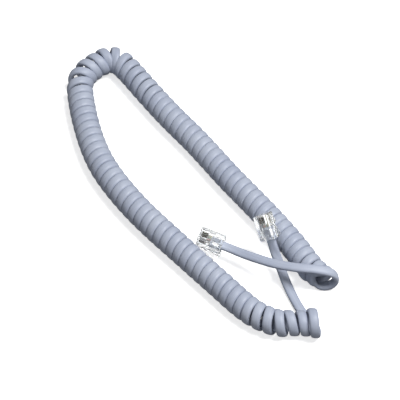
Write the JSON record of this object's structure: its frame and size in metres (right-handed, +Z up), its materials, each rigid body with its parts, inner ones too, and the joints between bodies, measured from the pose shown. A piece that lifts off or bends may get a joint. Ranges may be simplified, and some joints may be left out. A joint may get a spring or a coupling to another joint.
{
  "type": "curly telephone handset cord",
  "caption": "Curly telephone handset cord with a satin jacket, laid in a long loop, ending in clear latching modular plugs.",
  "frame": {"origin": "middle of the footprint, on the plane that the cord lies on", "axes": "+Z up, +Y along the loop towards its bend, plugs towards -Y"},
  "size_m": [0.1329, 0.1734, 0.028],
  "materials": {
    "jacket": "satin",
    "clear_plastic": "clear gloss",
    "contacts": "gold flash",
    "wire_black": "satin",
    "wire_red": "satin",
    "wire_green": "satin",
    "wire_yellow": "satin"
  },
  "bodies": {
    "cord": {"curls": "jacket", "lead_a": "jacket", "lead_b": "jacket", "plug_a_body": "clear_plastic", "plug_a_anchor_bar": "clear_plastic", "plug_a_contact_1": "contacts", "plug_a_conductor_black": "wire_black", "plug_a_contact_2": "contacts", "plug_a_conductor_red": "wire_red", "plug_a_contact_3": "contacts", "plug_a_conductor_green": "wire_green", "plug_a_contact_4": "contacts", "plug_a_conductor_yellow": "wire_yellow", "plug_b_body": "clear_plastic", "plug_b_anchor_bar": "clear_plastic", "plug_b_contact_1": "contacts", "plug_b_conductor_black": "wire_black", "plug_b_contact_2": "contacts", "plug_b_conductor_red": "wire_red", "plug_b_contact_3": "contacts", "plug_b_conductor_green": "wire_green", "plug_b_contact_4": "contacts", "plug_b_conductor_yellow": "wire_yellow"},
    "latch_a": {"plug_a_latch": "clear_plastic"},
    "latch_b": {"plug_b_latch": "clear_plastic"}
  },
  "joints": [
    {"name": "latch_a_hinge", "type": "hinge", "parent": "cord", "child": "latch_a", "pos_m": [0.00173, -0.03272, 0.00633], "axis": [-0.3746, -0.9272, 0], "range_deg": [0, 20], "stiffness_Nm_per_rad": 0.05},
    {"name": "latch_b_hinge", "type": "hinge", "parent": "cord", "child": "latch_b", "pos_m": [0.03236, -0.02858, 0.02151], "axis": [-0.8559, 0.0932, -0.5086], "range_deg": [0, 20], "stiffness_Nm_per_rad": 0.05}
  ]
}
